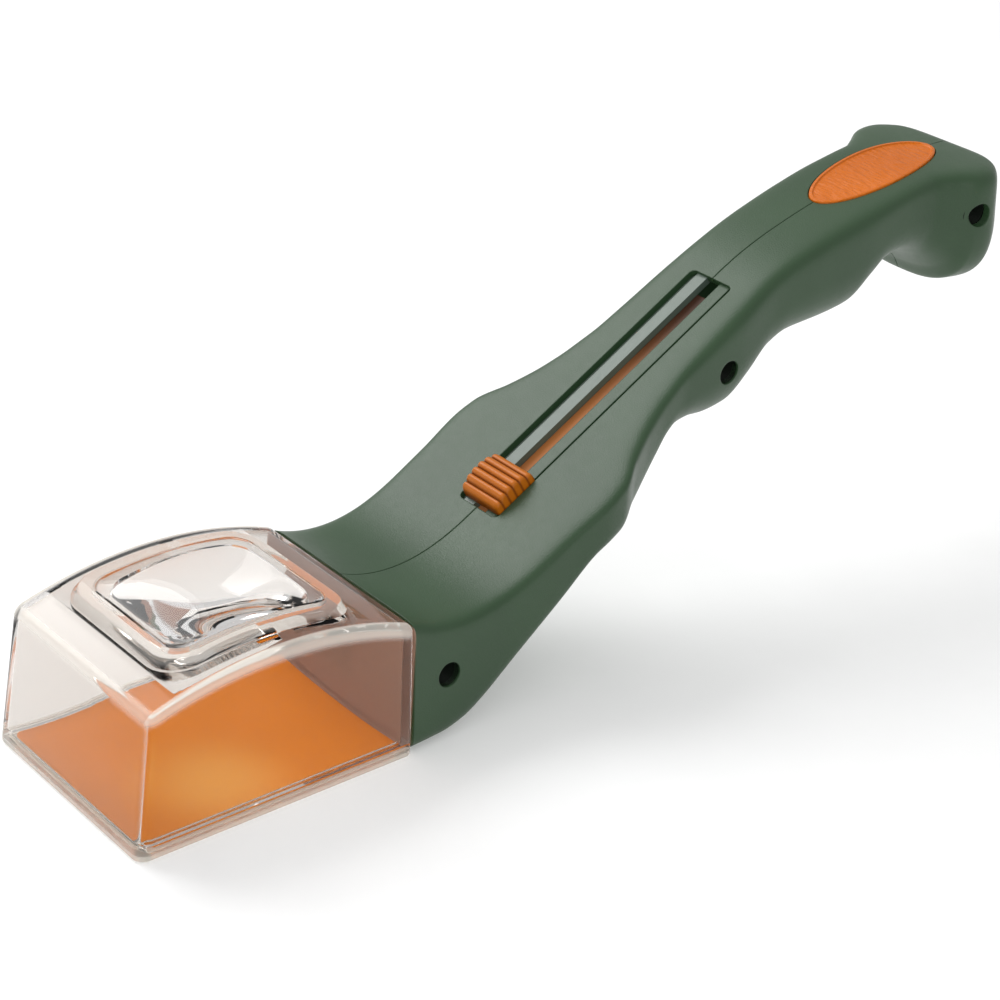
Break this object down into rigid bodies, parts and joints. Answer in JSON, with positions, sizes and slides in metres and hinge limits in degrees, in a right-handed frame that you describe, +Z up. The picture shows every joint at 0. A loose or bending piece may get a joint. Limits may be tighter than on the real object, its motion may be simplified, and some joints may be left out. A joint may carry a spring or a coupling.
{
  "type": "bug catcher",
  "caption": "Handheld bug catcher: clear box head with domed magnifier in its roof, open below, closed by a flexible trapdoor that a thumb slider draws into the hollow bent handle.",
  "frame": {"origin": "centre of the bounding box in X and Y, on the plane that the head's rim stands on", "axes": "+X from the viewing head to the tail of the handle, +Z up out of the head's roof, +Y to the left shell"},
  "size_m": [0.294, 0.0624, 0.1091],
  "materials": {
    "clear_plastic": "polished clear acrylic",
    "lens_plastic": "polished optical acrylic",
    "green_plastic": "fine textured matte",
    "orange_sheet": "satin flexible sheet",
    "orange_plastic": "satin",
    "orange_badge": "satin gloss",
    "screw_steel": "dark zinc"
  },
  "bodies": {
    "handle": {"viewing_head": "clear_plastic", "magnifier_lens": "lens_plastic", "handle_shell_left": "green_plastic", "handle_shell_right": "green_plastic", "badge_oval": "orange_badge", "handle_screw_front": "screw_steel", "handle_screw_middle": "screw_steel", "handle_screw_rear": "screw_steel"},
    "slider": {"thumb_slider": "orange_plastic", "tongue_clamp": "orange_plastic", "clamp_screw": "screw_steel"},
    "trapdoor": {"trapdoor": "orange_sheet"}
  },
  "joints": [
    {"name": "thumb_slide", "type": "slide", "parent": "handle", "child": "slider", "axis": [0.86, 0, 0.5102], "range_m": [0, 0.0738]},
    {"name": "trapdoor_slide", "type": "slide", "parent": "handle", "child": "trapdoor", "axis": [1, 0, 0], "range_m": [0, 0.0738], "deforming": ["trapdoor"]}
  ],
  "couplings": [
    {"joint": "trapdoor_slide", "follows": "thumb_slide", "ratio": 1}
  ]
}
